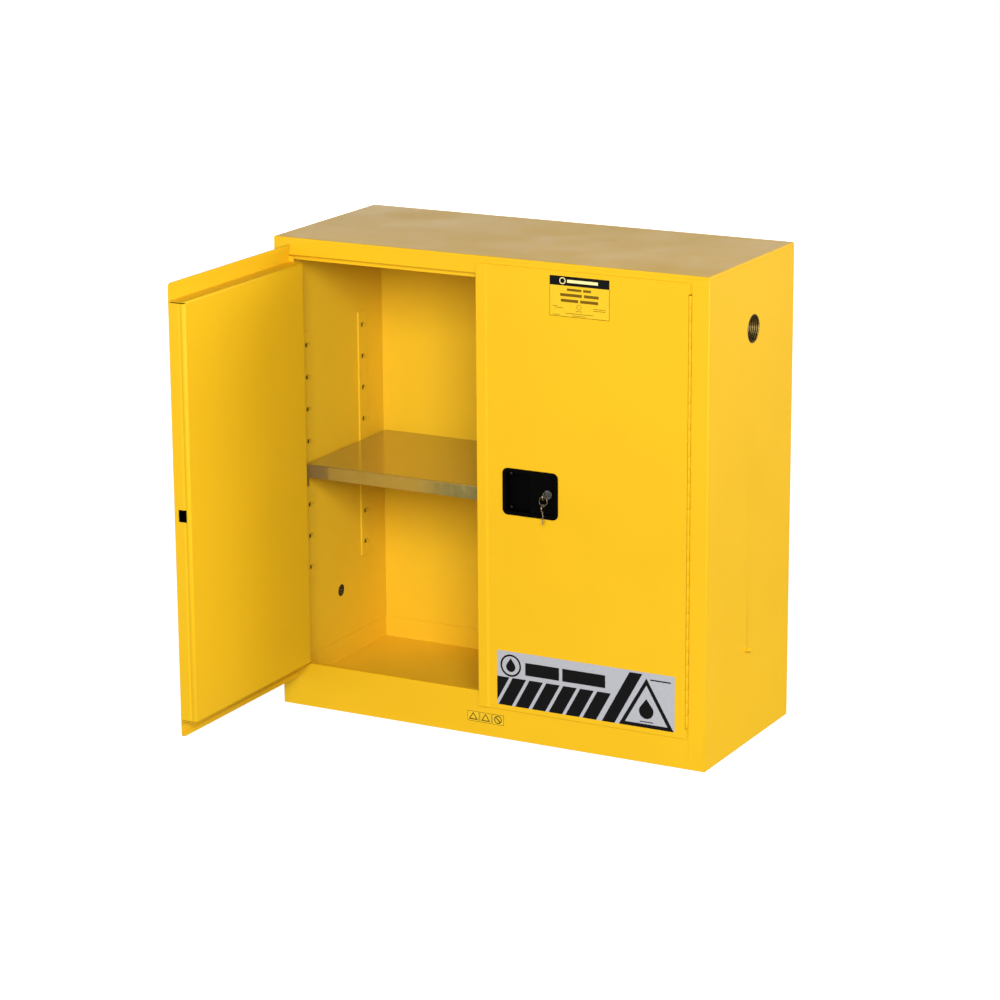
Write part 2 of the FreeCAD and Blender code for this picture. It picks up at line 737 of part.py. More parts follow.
def door_skin(name, s):
    """Outer door sheet with hemmed top and bottom; the right one ends in an overlapping lip."""
    body = new_body(name)
    if s > 0:
        plan = [
            (door_side, skin_front), (lip_ramp, skin_front), (lip_flat, skin_front - lip_rise),
            (-lip_reach, skin_front - lip_rise), (-lip_reach, skin_back - lip_rise),
            (lip_flat, skin_back - lip_rise), (lip_ramp, skin_back), (door_side, skin_back)]
        inner_edge = lip_ramp + 1
    else:
        plan = [
            (-door_side, skin_front), (-left_free, skin_front), (-left_free, skin_back),
            (-door_side, skin_back)]
        inner_edge = -left_free - 1
    pad(body, polygon(sketch(body, "XY_Plane", skin_low), plan), skin_high - skin_low)
    hems = sketch(body, "XZ_Plane", -skin_back)
    rectangle(hems, (inner_edge, s * (door_side - 1)), (skin_low, skin_low + hem))
    rectangle(hems, (inner_edge, s * (door_side - 1)), (skin_high - hem, skin_high))
    pad(body, hems, hem_thick, forward=False)
    tabs = sketch(body, "XZ_Plane", -skin_back)
    rectangle(tabs, (s * (door_side - 1), s * (hinge_x + skin_tab)),
              (skin_low, hinge_low - hinge_relief))
    rectangle(tabs, (s * (door_side - 1), s * (hinge_x + skin_tab)),
              (hinge_high + hinge_relief, skin_high))
    pad(body, tabs, gauge)
    if s > 0:
        opening = rectangle(sketch(body, "XZ_Plane", 1 - skin_front),
                            (cup_left + 5, cup_right - 5), (cup_low + 5, cup_high - 5))
        pocket(body, opening, gauge + 2)
    else:
        fillet(body, 10, {"x": -left_free, "z": skin_high}, {"x": -left_free, "z": skin_low})
    return swing(name, body, s)


def pressed_block(name, xs, ys, zs, radius):
    """A block with its rear edges rounded."""
    body = new_body(name)
    pad(body, rectangle(sketch(body, "XY_Plane", zs[0]), xs, ys), zs[1] - zs[0])
    fillet(body, radius, {"y": ys[1]})
    return body


def door_pan(name, s):
    """Inner door box, open towards the skin, with the latch holes in its edges."""
    free = right_free if s > 0 else -left_pan_free
    inward = gauge if s > 0 else -gauge
    shell = pressed_block(f"{name}_shell", (free, s * door_side), (skin_back, box_back),
                          (pan_low, pan_high), pan_bend)
    hollow = pressed_block(f"{name}_hollow", (free + inward, s * (door_side - gauge)),
                           (skin_back - 1, box_back - gauge), (pan_low + gauge, pan_high - gauge),
                           pan_bend - gauge)
    holes = right_pan_holes(name) if s > 0 else left_pan_holes(name)
    return swing(name, cut(name, shell, [hollow] + holes), s)


def right_pan_holes(name):
    """Slot for the bolt and a hole at each end for the rods."""
    holes = [block(f"{name}_slot", (right_free - 2, right_free + gauge + 2),
                   (skin_front + 13.5, skin_front + 28.5), (bolt_z - 8, bolt_z + 8))]
    for x, z in ((cam_x + cam_arm, pan_high), (cam_x - cam_arm, pan_low)):
        holes.append(bar(f"{name}_drill", "z", rod_radius + 2.6, (x, rod_y, z - 3), 6))
    return holes


def left_pan_holes(name):
    """Opening for the strike box, and the gap left open at each end of the edge channel."""
    xs = (1 - left_pan_free, -left_pan_free - pan_bend - 1)
    (near, far), (low, high) = strike_ys, strike_zs
    holes = [block(f"{name}_strike", xs, (near - 0.2, far + 0.2), (low - 0.2, high + 0.2))]
    reach = edge_gap - gauge + 0.2
    for start in (pan_low + gauge + 0.2, pan_high - edge_gap - 0.4):
        holes.append(block(f"{name}_gap", xs, (skin_back + 1, box_back + 1), (start, start + reach)))
    return holes


def strike_opening(body):
    """Outline of the strike box's opening, drawn at the middle of the cabinet."""
    (near, far), (low, high) = strike_ys, strike_zs
    return rectangle(sketch(body, "YZ_Plane"), (near - 0.2, far + 0.2), (low - 0.2, high + 0.2))


def edge_channel():
    """Beaded channel over the left door's free edge, a little shorter than the pan."""
    body = new_body("left_edge_channel")
    face = -left_free
    inner = face - gauge
    bead_near, bead_mid, bead_far = (skin_front + at for at in (24, 28.5, 33))
    wrap = face - 16
    plan = [
        (face, skin_back + 0.1), (face, bead_near), (face - edge_bead, bead_mid), (face, bead_far),
        (face, edge_back), (wrap, edge_back), (wrap, edge_back - gauge),
        (inner, edge_back - gauge), (inner, bead_far), (inner - edge_bead, bead_mid),
        (inner, bead_near), (inner, skin_back + 0.1)]
    pad(body, polygon(sketch(body, "XY_Plane", pan_low + edge_gap), plan),
        pan_high - pan_low - 2 * edge_gap)
    fillet(body, pan_bend + 0.2 + gauge, {"x": face, "y": edge_back})
    fillet(body, pan_bend + 0.2, {"x": inner, "y": edge_back - gauge})
    pocket(body, strike_opening(body), left_free + gauge + edge_bead + 1)
    return swing("left_edge_channel", body, -1)


def strike_box():
    """Black pocket in the left door's edge that takes the centre bolt."""
    body = new_body("strike_box")
    depth = 22
    wall = 2
    (near, far), (low, high) = strike_ys, strike_zs
    pad(body, rectangle(sketch(body, "YZ_Plane", -left_free), strike_ys, strike_zs), depth,
        forward=False)
    mouth = rectangle(sketch(body, "YZ_Plane", 1 - left_free), (near + wall, far - wall),
                      (low + wall, high - wall))
    pocket(body, mouth, depth - wall + 1)
    return swing("strike_box", body, -1)


# ---------------------------------------------------------------- handle and lock

def upright_corners(xs, zs):
    """Spots of the four corner edges of a box that run front to back."""
    return [{"x": x, "z": z} for x in xs for z in zs]


def handle_cup():
    """Recessed black cup with a raised rim, screw posts and the latch cam's pivot post."""
    body = new_body("handle_cup")
    rim_back = skin_front - 0.1
    pad(body, rectangle(sketch(body, "XZ_Plane", -rim_back), (cup_left, cup_right),
                        (cup_low, cup_high)), cup_proud)
    fillet(body, cup_corner, *upright_corners((cup_left, cup_right), (cup_low, cup_high)))
    fillet(body, cup_edge, {"y": rim_back - cup_proud})
    xs = (cup_left + cup_rim, cup_right - cup_rim)
    zs = (cup_low + cup_rim, cup_high - cup_rim)
    pad(body, rectangle(sketch(body, "XZ_Plane", -rim_back), xs, zs), cup_depth + 0.1,
        forward=False)
    well = rectangle(sketch(body, "XZ_Plane", cup_proud + 1 - skin_front),
                     (xs[0] + cup_wall, xs[1] - cup_wall), (zs[0] + cup_wall, zs[1] - cup_wall))
    pocket(body, well, cup_proud + 1 + cup_depth - cup_wall)
    pivot = circle(sketch(body, "XZ_Plane", -cup_floor), (cam_x, cam_z), cam_pivot)
    pad(body, pivot, box_back - gauge - 0.4 - cup_floor, forward=False)
    for height, radius, spots in cup_posts():
        posts = sketch(body, "XZ_Plane", cup_wall - cup_floor)
        for spot in spots:
            circle(posts, spot, radius)
        pad(body, posts, height)
    sockets = circle(sketch(body, "XY_Plane", zs[0] - 1), (paddle_pivot, pivot_y),
                     paddle_pin + running)
    pocket(body, sockets, zs[1] - zs[0] + 2, forward=True)
    return node("handle_cup", body)


def cup_posts():
    """Height, radius and places of the tall left posts and the short right ones."""
    zs = (cup_low + post_inset, cup_high - post_inset)
    for height, radius, x in ((11, 5.5, cup_left + post_inset), (3, 4.5, cup_right - post_inset)):
        yield height, radius, [(x, z) for z in zs]


def cup_screws():
    """Pan-head screws on the four posts."""
    screws = []
    head = [(0, 0), (3.6, 0), (3.6, 1.2), (2.4, 2.2), (0, 2.5)]
    for height, radius, spots in cup_posts():
        for x, z in spots:
            body = new_body(f"screw_{len(screws)}")
            revolve(body, head)
            screws.append(place(body, x, cup_floor - cup_wall - height - 0.02, z,
                                FreeCAD.Rotation(V(1, 0, 0), 90)))
    return node("cup_screws", group("cup_screws", screws))


def paddle():
    """Pull plate with a curled finger edge and two pivot barrels."""
    body = new_body("paddle")
    low, high = cup_low + cup_rim + cup_wall + 2, cup_high - cup_rim - cup_wall - 2
    thickness, curl = 3, 1.5
    edge = paddle_pivot + paddle_barrel + 0.5
    lip, slope, back_face = paddle_left + 5, paddle_left + 8, paddle_face + thickness
    plan = [
        (paddle_left, paddle_face - curl), (lip, paddle_face - curl), (slope, paddle_face),
        (edge, paddle_face), (edge, back_face), (slope, back_face), (lip - 1, back_face + 2),
        (paddle_left, back_face + 2)]
    pad(body, polygon(sketch(body, "XY_Plane", low), plan), high - low)
    fillet(body, 1.2, {"x": paddle_left, "y": paddle_face - curl}, {"x": lip, "y": paddle_face - curl})
    for bottom, top in ((low, low + 18), (high - 26, high)):
        pad(body, circle(sketch(body, "XY_Plane", bottom), (paddle_pivot, pivot_y), paddle_barrel),
            top - bottom)
    bore = circle(sketch(body, "XY_Plane", low - 1), (paddle_pivot, pivot_y), paddle_pin + running)
    pocket(body, bore, high - low + 2, forward=True)
    seat = circle(sketch(body, "XZ_Plane", thickness - paddle_face), (lock_x, lock_z),
                  barrel_radius + 0.2)
    pocket(body, seat, 2 * thickness + 2)
    return node("paddle", body)


def paddle_pins():
    """Pivot pins, held in the cup's lower and upper walls."""
    low, high = cup_low + cup_rim, cup_high - cup_rim
    pins = [bar("paddle_pin_low", "z", paddle_pin, (paddle_pivot, pivot_y, low - 0.5), 34.5),
            bar("paddle_pin_high", "z", paddle_pin, (paddle_pivot, pivot_y, high - 33), 33.5)]
    return node("paddle_pins", group("paddle_pins", pins))


def paddle_spring():
    """Torsion spring round the lower pivot pin."""
    start = V(paddle_pivot.value, pivot_y.value, cup_low.value + cup_rim.value + cup_wall.value + 21.5)
    turns, pitch, radius, wire = 5, 1.5, 3.3, 0.55
    coil = Part.makeHelix(pitch, turns * pitch, radius)
    section = Part.Wire(Part.Circle(V(radius, 0, 0), V(0, 1, 0), wire).toShape())
    body = Part.Wire(coil).makePipeShell([section], True, True)
    spring = doc.addObject("Part::Feature", "paddle_spring")
    spring.Shape = body
    spring.Placement = FreeCAD.Placement(start, FreeCAD.Rotation())
    return node("paddle_spring", spring)


def lock():
    """Lock barrel in the paddle, its plug, the key in it, the key ring and a spare key."""
    face = paddle_face - 2
    barrel = new_body("lock_barrel")
    inside, flange, flange_thick, length = plug_radius + 0.05, barrel_radius + 1.7, 1.9, 21
    revolve(barrel, [(inside, 0), (flange, 0), (flange, flange_thick), (barrel_radius, flange_thick),
                     (barrel_radius, length), (inside, length)])
    node("lock_barrel", place(barrel, lock_x, face, lock_z, TURNS["y"]))
    plug = new_body("lock_plug")
    pad(plug, circle(sketch(plug, "XZ_Plane", -(face + 0.3)), (lock_x, lock_z), plug_radius),
        length, forward=False)
    keyway = rectangle(sketch(plug, "XZ_Plane", 1 - face), (lock_x - 1.2, lock_x + 1.2),
                       (lock_z - 4.2, lock_z + 4.2))
    pocket(plug, keyway, length - 1)
    node("lock_plug", plug)
    hole_y = face - 22
    bow_y = hole_y + key_eye
    flat_key("key", (hole_y, lock_z), (bow_y, lock_z),
             ((bow_y + 7, face - 0.2), (lock_z - 4, lock_z + 4)),
             ((bow_y + 8, face + 17), (lock_z - 3.7, lock_z + 3.7)))
    ring = doc.addObject("Part::Torus", "key_ring")
    bind(ring, "Radius1", ring_radius)
    ring.Radius2 = 0.8
    node("key_ring", place(ring, lock_x, hole_y, lock_z - ring_radius, TURNS["y"]))
    hang_z = lock_z - 2 * ring_radius
    bow_z = hang_z - key_eye
    flat_key("spare_key", (hole_y, hang_z), (hole_y, bow_z),
             ((hole_y - 4, hole_y + 4), (bow_z - 14, bow_z - 7)),
             ((hole_y - 3.7, hole_y + 3.7), (bow_z - 38, bow_z - 13)))


def flat_key(name, eye, bow, shank, blade):
    """A flat key in the vertical plane through the lock's axis: round bow, shank and blade."""
    body = new_body(name)
    thick = 2
    side = lock_x - thick / 2
    pad(body, circle(sketch(body, "YZ_Plane", side), bow, key_bow), thick)
    pad(body, rectangle(sketch(body, "YZ_Plane", side), *shank), thick)
    pad(body, rectangle(sketch(body, "YZ_Plane", side + 0.2), *blade), thick - 0.4)
    pocket(body, circle(sketch(body, "YZ_Plane", side - 1), eye, 3), thick + 2, forward=True)
    return node(name, body)


# ---------------------------------------------------------------- latch inside the right door

def latch_cam():
    """Round cam with three pins: one for the bolt and one for each rod."""
    body = new_body("latch_cam")
    web_thick, pin_length = 2.6, 7.4
    near = box_back - gauge - web_thick - 0.8
    web = circle(sketch(body, "XZ_Plane", -near), (cam_x, cam_z), cam_arm + 5)
    pad(body, web, web_thick, forward=False)
    pins = sketch(body, "XZ_Plane", -near)
    for dx, dz in ((1, 0), (-1, 0), (0, 1)):
        circle(pins, (cam_x + dx * cam_arm, cam_z + dz * cam_arm), cam_pin)
    pad(body, pins, pin_length)
    bore = circle(sketch(body, "XZ_Plane", 1 - near), (cam_x, cam_z), cam_pivot + running)
    pocket(body, bore, web_thick + 3)
    return node("latch_cam", body)


def latch_rod(name, x, tip_z, up):
    """A rod with a bullet tip at one end and a slotted eye at the cam."""
    out = 1 if up else -1
    bullet_radius = 5
    bullet_end = tip_z - out * 24
    nose_z = tip_z - out * bullet_radius
    eye_edge = cam_z + out * 10
    lowest = ordered((eye_edge, bullet_end))[0]
    shaft = bar(f"{name}_shaft", "z", rod_radius, (x, rod_y, lowest), out * (bullet_end - eye_edge))
    bullet = bar(f"{name}_bullet", "z", bullet_radius, (x, rod_y, ordered((bullet_end, nose_z))[0]),
                 out * (nose_z - bullet_end))
    nose = doc.addObject("Part::Sphere", f"{name}_nose")
    nose.Radius = bullet_radius
    place(nose, x, rod_y, nose_z)
    eye = block(f"{name}_eye", (x - out * 11, x + out * 7), (rod_y - 1.2, rod_y + 1.8),
                (cam_z - out * 7, cam_z + out * 14))
    slot = block(f"{name}_slot", (x - out * 6.8, x + out * 3.2), (rod_y - 3, rod_y + 3),
                 (cam_z - 3.1, cam_z + 3.1))
    return node(name, cut(name, fuse(f"{name}_blank", [shaft, bullet, nose, eye]), [slot]))


def centre_bolt():
    """Bolt that shoots from the right door's edge into the left door."""
    head = block("bolt_head", (-throw, right_free + 24), (skin_front + 14.5, skin_front + 27.5),
                 (bolt_z - 7, bolt_z + 7))
    tail = block("bolt_tail", (right_free + 20, cam_x + 5.4), (cup_floor + 0.6, cup_floor + 4.2),
                 (bolt_z - 7, bolt_z + 7))
    fork = block("bolt_fork", (cam_x - 3.1, cam_x + 3.1), (cup_floor, cup_floor + 6),
                 (bolt_z - 8, bolt_z + 3.1))
    return node("centre_bolt", cut("centre_bolt", fuse("bolt_blank", [head, tail]), [fork]))


def rod_guides():
    """Bored blocks on the right door's inner pan that keep the rods upright."""
    guides = []
    reach = 8
    for name, x, heights in (("upper", cam_x + cam_arm, (720, 1000)),
                             ("lower", cam_x - cam_arm, (200, 430))):
        for i, z in enumerate(heights):
            shell = block(f"guide_{name}_{i}_block", (x - reach, x + reach),
                          (rod_y - 5, box_back - gauge - 0.1), (z - reach, z + reach))
            bore = bar(f"guide_{name}_{i}_bore", "z", rod_radius + running,
                       (x, rod_y, z - reach - 1), 2 * reach + 2)
            guides.append(cut(f"guide_{name}_{i}", shell, [bore]))
    return node("rod_guides", group("rod_guides", guides))


def latch_strikes():
    """Drilled blocks over and under the right door that take the rod tips."""
    strikes = []
    hole_radius, reach = 5.6, 14
    for name, x, near, zs in (
            ("top", cam_x + cam_arm, front + 17, (strip_low, ceiling - 0.1)),
            ("bottom", cam_x - cam_arm, front + sill_ledge + 1.6, (sill_height - 22, sill_height))):
        solid = block(f"strike_{name}_block", (x - reach, x + reach), (near, front + 37), zs)
        hole = bar(f"strike_{name}_hole", "z", hole_radius, (x, rod_y, zs[0] - 1), zs[1] - zs[0] + 2)
        strikes.append(cut(f"strike_{name}", solid, [hole]))
    return node("latch_strikes", group("latch_strikes", strikes))


# ---------------------------------------------------------------- labels

def label(name, xs, zs, face):
    """Thin printed sheet stuck on a face."""
    return node(name, block(name, xs, (face - 0.3, face - 0.02), zs))


# ---------------------------------------------------------------- assembly

for side_name, sign in sides.items():
    outer_side(f"outer_side_{side_name}", sign)
    inner_side(side_name, *vents[side_name])
    vent_fitting(side_name, *vents[side_name])
    flame_arrester(side_name, *vents[side_name])
    standard(f"standard_{side_name}_front", sign, standard_front)
    standard(f"standard_{side_name}_rear", sign, standard_rear)
    hinge_piece(f"{side_name}_hinge_frame_leaf", sign, False)
    hinge_piece(f"{side_name}_hinge_door_leaf", sign, True)
    hinge_pin(f"{side_name}_hinge_pin", sign)
    door_skin(f"{side_name}_door_skin", sign)
    door_pan(f"{side_name}_door_pan", sign)
outer_top()
outer_back()
sill_front()
top_rail()
base_pan()
foot_sockets()
feet()
floor_pan()
inner_back()
inner_ceiling()
shelf_clips()
shelf()
ground_terminal()
edge_channel()
strike_box()
handle_cup()
cup_screws()
paddle()
paddle_pins()
paddle_spring()
lock()
latch_cam()
latch_rod("top_rod", cam_x + cam_arm, pan_high + 11, True)
latch_rod("bottom_rod", cam_x - cam_arm, pan_low - 11.5, False)
centre_bolt()
rod_guides()
latch_strikes()
label("base_label", (-53, 43), (30, 56), front)
label("door_label", (164, 310), (1001, 1091), skin_front)
label("band_label", (28, 473.5), (83.5, 213), skin_front)

doc.recompute()
for item in doc.Objects:
    if {"Invalid", "Error"} & set(item.State):
        raise RuntimeError(f"{item.Name} failed: {item.State}")
for name, item in nodes.items():
    if item.Shape.isNull() or not item.Shape.isValid() or not item.Shape.Solids:
        raise RuntimeError(f"{name} has no valid solid")

os.makedirs("parts", exist_ok=True)
for name, item in nodes.items():
    item.Shape.exportStep(f"parts/{name}.step")
print(f"{len(nodes)} nodes, {sum(len(item.Shape.Solids) for item in nodes.values())} solids")
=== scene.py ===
"""Looks for the two-door safety cabinet: paints, metals, label prints and small cast details.

Lengths are in metres in the cabinet's own frame.  MM turns a millimetre into a metre.
"""
import json
import math
import bmesh
import bpy
from mathutils import Matrix, Vector


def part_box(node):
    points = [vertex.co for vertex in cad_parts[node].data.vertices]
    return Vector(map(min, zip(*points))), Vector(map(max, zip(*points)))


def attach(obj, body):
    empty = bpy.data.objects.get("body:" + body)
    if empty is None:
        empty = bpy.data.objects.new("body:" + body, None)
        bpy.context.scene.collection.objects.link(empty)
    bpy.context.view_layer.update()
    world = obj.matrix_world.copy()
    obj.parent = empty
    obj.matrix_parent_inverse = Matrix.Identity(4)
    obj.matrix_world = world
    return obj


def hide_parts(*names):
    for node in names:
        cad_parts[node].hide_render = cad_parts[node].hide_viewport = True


MM = 0.001
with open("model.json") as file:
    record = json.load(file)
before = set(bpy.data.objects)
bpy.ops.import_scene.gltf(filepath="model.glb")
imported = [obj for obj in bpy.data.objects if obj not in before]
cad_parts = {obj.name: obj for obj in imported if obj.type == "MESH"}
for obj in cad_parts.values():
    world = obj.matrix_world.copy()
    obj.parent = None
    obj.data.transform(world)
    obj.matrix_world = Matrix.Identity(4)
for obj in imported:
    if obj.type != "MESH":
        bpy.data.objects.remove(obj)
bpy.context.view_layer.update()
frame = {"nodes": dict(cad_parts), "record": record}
nodes = frame["nodes"]
slot_of = {part["node"]: part["material_slot"] for part in frame["record"]["subparts"]}


# ---------------------------------------------------------------- shader building blocks

class Shader:
    """One node material: a Principled shader fed by procedural layers."""

    def __init__(self, name, colour, roughness, metallic=0.0):
        self.material = bpy.data.materials.new(name)
        self.material.use_nodes = True
        self.tree = self.material.node_tree
        self.surface = self.tree.nodes["Principled BSDF"]
        self.surface.inputs["Base Color"].default_value = (*colour, 1)
        self.surface.inputs["Roughness"].default_value = roughness
        self.surface.inputs["Metallic"].default_value = metallic
        self.place = self.add("ShaderNodeTexCoord").outputs["Object"]
        self.relief = None

    def add(self, kind, **sockets):
        """A new node; keywords fill its sockets with numbers or links."""
        node = self.tree.nodes.new(kind)
        for socket, value in sockets.items():
            self.feed(node.inputs[socket.replace("_", " ")], value)
        return node

    def feed(self, socket, value):
        if isinstance(value, bpy.types.NodeSocket):
            self.tree.links.new(value, socket)
        else:
            socket.default_value = value

    def stretch(self, scale):
        mapping = self.add("ShaderNodeMapping", Vector=self.place)
        mapping.inputs["Scale"].default_value = scale
        return mapping.outputs["Vector"]

    def noise(self, scale, detail=2.0, rough=0.5, place=None):
        node = self.add("ShaderNodeTexNoise", Vector=place or self.place, Scale=scale,
                        Detail=detail, Roughness=rough)
        return node.outputs["Fac"]

    def cells(self, scale):
        """Crystal-like cells, each with a random colour."""
        node = self.add("ShaderNodeTexVoronoi", Vector=self.place, Scale=scale)
        return node.outputs["Color"]

    def ramp(self, value, low, high, start=0.0, end=1.0):
        """Spread a value between two limits on to start..end."""
        node = self.add("ShaderNodeMapRange", Value=value)
        for socket, number in zip(("From Min", "From Max", "To Min", "To Max"),
                                  (low, high, start, end)):
            node.inputs[socket].default_value = number
        return node.outputs["Result"]

    def math(self, operation, first, second=0.0):
        node = self.add("ShaderNodeMath")
        node.operation = operation
        self.feed(node.inputs[0], first)
        self.feed(node.inputs[1], second)
        return node.outputs["Value"]

    def mix(self, factor, first, second):
        """Blend two colours."""
        node = self.add("ShaderNodeMix")
        node.data_type = "RGBA"
        self.feed(node.inputs[0], factor)
        for index, colour in ((6, first), (7, second)):
            self.feed(node.inputs[index], colour if isinstance(colour, bpy.types.NodeSocket)
                      else (*colour, 1))
        return node.outputs[2]

    def colour(self, value):
        self.feed(self.surface.inputs["Base Color"], value)

    def roughness(self, value):
        self.feed(self.surface.inputs["Roughness"], value)

    def bump(self, height, depth, strength=1.0):
        """Add a layer of relief; depth is the height in metres of a full step."""
        node = self.add("ShaderNodeBump", Height=height, Distance=depth, Strength=strength)
        if self.relief is not None:
            self.feed(node.inputs["Normal"], self.relief)
        self.relief = node.outputs["Normal"]
        self.feed(self.surface.inputs["Normal"], self.relief)

    def edges(self, radius):
        """How close a point is to a sharp edge: 0 on a flat, up to 1 on the edge."""
        rounded = self.add("ShaderNodeBevel", Radius=radius)
        rounded.samples = 4
        flat = self.add("ShaderNodeNewGeometry").outputs["Normal"]
        alike = self.add("ShaderNodeVectorMath")
        alike.operation = "DOT_PRODUCT"
        self.feed(alike.inputs[0], rounded.outputs["Normal"])
        self.feed(alike.inputs[1], flat)
        return self.ramp(alike.outputs["Value"], 1.0, 0.85)


def tone(colour, factor):
    return tuple(min(1.0, channel * factor) for channel in colour)


# ---------------------------------------------------------------- materials

YELLOW = (0.80, 0.466, 0.012)
# Same yellow enamel as the outside, in a paler and less orange copy that sets how bright the
# inside looks: painted light.
LINER_YELLOW_SET_FOR_LIGHT = (0.84, 0.525, 0.024)
STEEL = (0.56, 0.57, 0.58)
BLACK = (0.0015, 0.0015, 0.0016)
# Paler black for the plastic's edges: rubbing wear and painted highlight.
RUBBED_BLACK_AND_SHEEN = (0.035, 0.035, 0.035)
BROWN = (0.17, 0.095, 0.006)
DARK_BROWN = (0.09, 0.05, 0.004)


def powder_coat(name, colour, base_rough=0.34):
    """Sprayed enamel: fine orange peel, faint tone drift, rubbed edges and dusty patches."""
    paint = Shader(name, colour, base_rough)
    drift = paint.noise(2.6, 3.0)
    speck = paint.noise(240.0, 2.0, 0.6)
    body = paint.mix(paint.ramp(drift, 0.3, 0.7), tone(colour, 0.965), tone(colour, 1.02))
    body = paint.mix(paint.ramp(speck, 0.62, 0.72, 0.0, 0.2), body, tone(colour, 0.88))
    patchy = paint.ramp(paint.noise(28.0, 4.0), 0.48, 0.7)
    worn = paint.math("MULTIPLY", paint.edges(0.9 * MM), patchy)
    body = paint.mix(paint.math("MULTIPLY", worn, 0.3), body, tone(colour, 0.62))
    paint.colour(body)
    dusty = paint.noise(7.0, 5.0, 0.62)
    paint.roughness(paint.ramp(dusty, 0.3, 0.75, base_rough - 0.05, base_rough + 0.08))
    paint.bump(paint.noise(520.0, 2.0, 0.45), 0.05 * MM, 0.5)
    paint.bump(paint.noise(1900.0, 1.0), 0.012 * MM, 0.4)
    paint.bump(paint.noise(3.2, 1.0), 0.5 * MM, 0.15)
    paint.surface.inputs["IOR"].default_value = 1.26
    return paint.material


def galvanised(name):
    """Zinc-coated sheet: faint spangle and rolling streaks, with an olive-yellow tint that is a
    painted reflection of the yellow enamel around it.
    """
    # The olive-yellow base and streak colours here and below paint in the reflection of the
    # surrounding yellow enamel.
    zinc = Shader(name, (0.49, 0.42, 0.14), 0.2, 0.75)
    spangle = zinc.cells(70.0)
    grey = zinc.add("ShaderNodeSeparateColor", Color=spangle).outputs["Red"]
    streak = zinc.noise(34.0, 3.0, 0.6, zinc.stretch((2.2, 0.10, 1.0)))
    body = zinc.mix(grey, (0.47, 0.405, 0.13), (0.51, 0.44, 0.155))
    body = zinc.mix(zinc.ramp(streak, 0.35, 0.7, 0.0, 0.3), body, (0.56, 0.49, 0.21))
    zinc.colour(body)
    zinc.roughness(zinc.math("ADD", zinc.ramp(grey, 0.0, 1.0, 0.16, 0.20),
                             zinc.ramp(streak, 0.3, 0.7, -0.03, 0.05)))
    zinc.bump(streak, 0.02 * MM, 0.12)
    return zinc.material


def metal(name, colour, rough, streak_scale, streaks=(1.0, 1.0, 1.0), stain=0.8):
    """Plain metal with drawing marks and a few darker stains."""
    bare = Shader(name, colour, rough, 1.0)
    marks = bare.noise(streak_scale, 3.0, 0.6, bare.stretch(streaks))
    patches = bare.noise(60.0, 4.0, 0.6)
    bare.colour(bare.mix(bare.ramp(patches, 0.45, 0.75), colour, tone(colour, stain)))
    bare.roughness(bare.math("ADD", bare.ramp(marks, 0.3, 0.7, rough - 0.06, rough + 0.08),
                             bare.ramp(patches, 0.4, 0.8, 0.0, 0.12)))
    bare.bump(marks, 0.02 * MM, 0.35)
    return bare.material


def threaded_brass(name):
    """Yellow-passivated collar; rings of thread show inside the bore as relief, with a painted
    highlight on the crests and painted shade in the roots.
    """
    brass = Shader(name, (0.44, 0.33, 0.10), 0.34, 1.0)
    split = brass.add("ShaderNodeSeparateXYZ", Vector=brass.place)
    pitch = 4.6 * MM
    wave = brass.math("SINE", brass.math("MULTIPLY", split.outputs["X"], 2 * math.pi / pitch))
    stain = brass.noise(130.0, 4.0, 0.6)
    # Painted highlight and shade: along the thread wave the crests get a bright colour and the
    # roots a dark one.
    crest_highlight = brass.ramp(wave, -0.5, 0.8)
    thread = brass.mix(crest_highlight, (0.12, 0.065, 0.012), (0.98, 0.76, 0.30))
    brass.colour(brass.mix(brass.ramp(stain, 0.35, 0.7, 0.0, 0.6), thread, (0.22, 0.15, 0.05)))
    brass.roughness(brass.ramp(stain, 0.3, 0.7, 0.2, 0.36))
    brass.bump(wave, 0.8 * MM, 0.9)
    brass.bump(stain, 0.05 * MM, 0.3)
    return brass.material


def moulded_black(name, colour=BLACK, rough=0.46):
    """Moulded plastic with a fine leathered skin and paler edges, partly rubbing wear and partly a
    painted highlight along the edges.
    """
    plastic = Shader(name, colour, rough)
    grain = plastic.noise(1400.0, 2.0, 0.6)
    patchy = plastic.ramp(plastic.noise(90.0, 3.0), 0.4, 0.7)
    # Paler edges: part rubbing wear, part painted highlight.
    rub_and_sheen = plastic.math("MULTIPLY", plastic.edges(0.8 * MM), patchy)
    plastic.colour(plastic.mix(plastic.math("MULTIPLY", rub_and_sheen, 0.5), colour, RUBBED_BLACK_AND_SHEEN))
    plastic.roughness(plastic.ramp(plastic.noise(45.0, 4.0), 0.3, 0.7, rough - 0.07, rough + 0.10))
    plastic.bump(grain, 0.04 * MM, 0.5)
    plastic.surface.inputs["IOR"].default_value = 1.10
    return plastic.material


def printed_film(name, colour, rough=0.32, sheen=1.3):
    """Label stock or ink: slight mottling, tiny bubbles and a soft sheen."""
    film = Shader(name, colour, rough)
    mottle = film.noise(160.0, 3.0, 0.55)
    film.colour(film.mix(film.ramp(mottle, 0.3, 0.7), tone(colour, 0.95), tone(colour, 1.03)))
    film.roughness(film.ramp(film.noise(30.0, 3.0), 0.3, 0.7, rough - 0.05, rough + 0.09))
    film.bump(film.noise(75.0, 2.0), 0.06 * MM, 0.2)
    film.surface.inputs["IOR"].default_value = sheen
    return film.material


